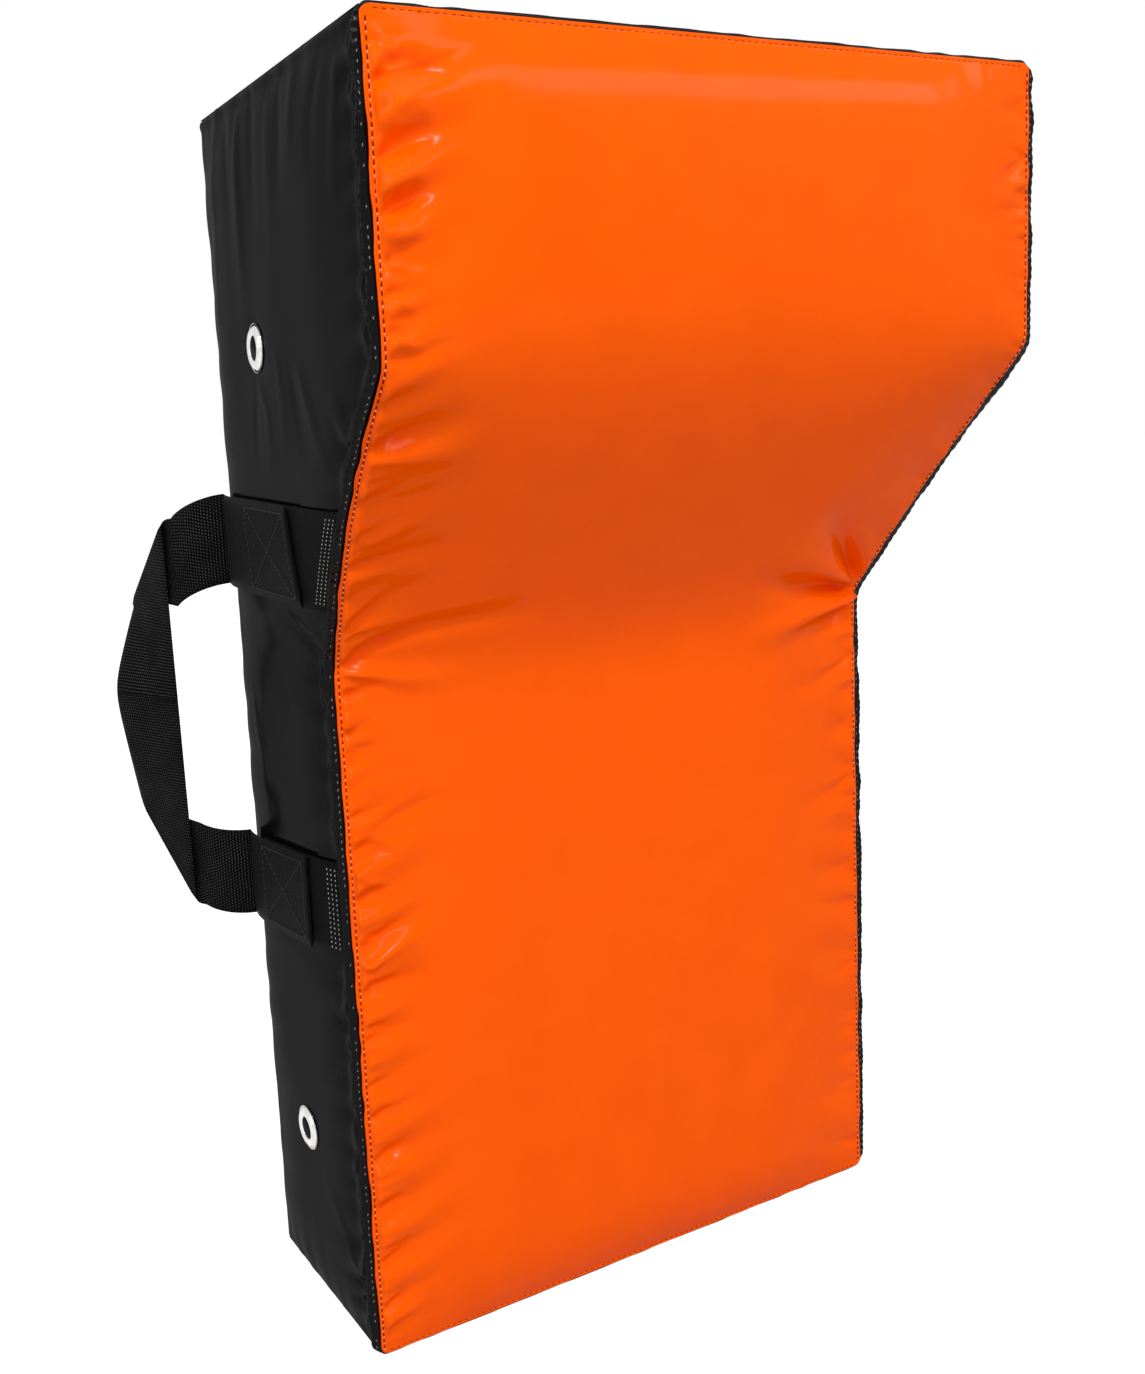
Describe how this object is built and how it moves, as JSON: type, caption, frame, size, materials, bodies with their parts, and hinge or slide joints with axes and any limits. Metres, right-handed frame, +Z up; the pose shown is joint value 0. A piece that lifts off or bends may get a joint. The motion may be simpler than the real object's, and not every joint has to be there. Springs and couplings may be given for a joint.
{
  "type": "tackle shield",
  "caption": "Freestanding tackle shield: thick upper foam block over a thinner lower slab in a sewn PVC cover, with webbing handles and breather eyelets at the sides.",
  "frame": {"origin": "middle of the flat face at the lower end, on which the shield stands", "axes": "+Z up towards the thick block, -Y out of the orange striking face, +X to the right seen from the front"},
  "size_m": [0.4718, 0.3327, 0.6585],
  "materials": {
    "orange_pvc": "glossy PVC-coated fabric",
    "black_pvc": "satin PVC-coated fabric",
    "foam": "open-cell foam, hidden",
    "webbing": "ribbed polypropylene webbing",
    "nickel": "bright nickel plate"
  },
  "bodies": {
    "shield": {"front_panel": "orange_pvc", "rear_panel": "black_pvc", "left_side_panel": "black_pvc", "right_side_panel": "black_pvc", "top_panel": "black_pvc", "bottom_panel": "black_pvc", "left_seam_welt": "black_pvc", "right_seam_welt": "black_pvc", "top_seam_welt": "black_pvc", "bottom_seam_welt": "black_pvc", "foam_slab": "foam", "foam_wedge": "foam", "left_upper_anchor_strap": "webbing", "left_lower_anchor_strap": "webbing", "right_upper_anchor_strap": "webbing", "right_lower_anchor_strap": "webbing", "left_upper_handle_tab": "webbing", "left_lower_handle_tab": "webbing", "right_upper_handle_tab": "webbing", "right_lower_handle_tab": "webbing", "left_upper_eyelet": "nickel", "left_lower_eyelet": "nickel", "right_upper_eyelet": "nickel", "right_lower_eyelet": "nickel", "left_upper_eyelet_washer": "nickel", "left_lower_eyelet_washer": "nickel", "right_upper_eyelet_washer": "nickel", "right_lower_eyelet_washer": "nickel"},
    "left_handle": {"left_handle_loop": "webbing"},
    "right_handle": {"right_handle_loop": "webbing"}
  },
  "joints": [
    {"name": "left_handle_swing", "type": "hinge", "parent": "shield", "child": "left_handle", "pos_m": [-0.1785, 0.062, 0.33176], "axis": [0, 0, 1], "range_deg": [-90, 25]},
    {"name": "right_handle_swing", "type": "hinge", "parent": "shield", "child": "right_handle", "pos_m": [0.1785, 0.062, 0.33176], "axis": [0, 0, -1], "range_deg": [-90, 25]}
  ]
}
